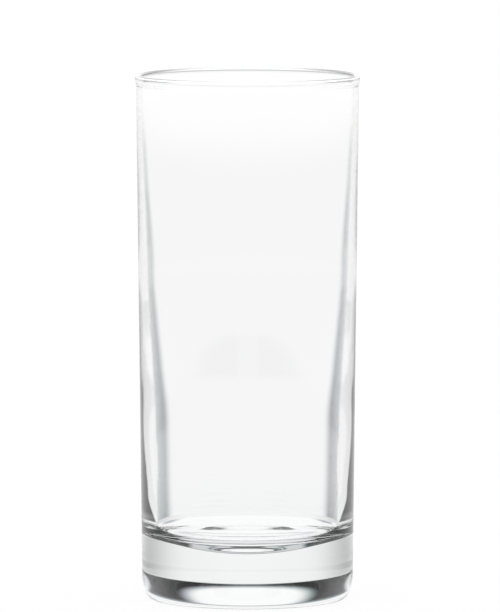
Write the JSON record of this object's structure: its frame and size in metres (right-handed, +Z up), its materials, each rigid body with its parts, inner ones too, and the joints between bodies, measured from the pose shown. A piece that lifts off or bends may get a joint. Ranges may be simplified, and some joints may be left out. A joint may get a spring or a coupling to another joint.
{
  "type": "highball tumbler",
  "caption": "Clear glass highball tumbler: straight, slightly tapered wall, fire-polished beaded lip, and a heavy solid base with a shallow dished floor inside and a rounded heel outside.",
  "frame": {"origin": "On the glass's own axis, in the plane of the foot ring it stands on.", "axes": "+Z up along the axis from the foot to the lip. The glass is round, so +X and +Y are any two square directions; -Y is the side the picture looks at."},
  "size_m": [0.062, 0.062, 0.145],
  "materials": {
    "clear_glass": "fire-polished clear soda-lime glass, glossy inside and out"
  },
  "bodies": {
    "root": {"tumbler": "clear_glass"}
  },
  "joints": []
}
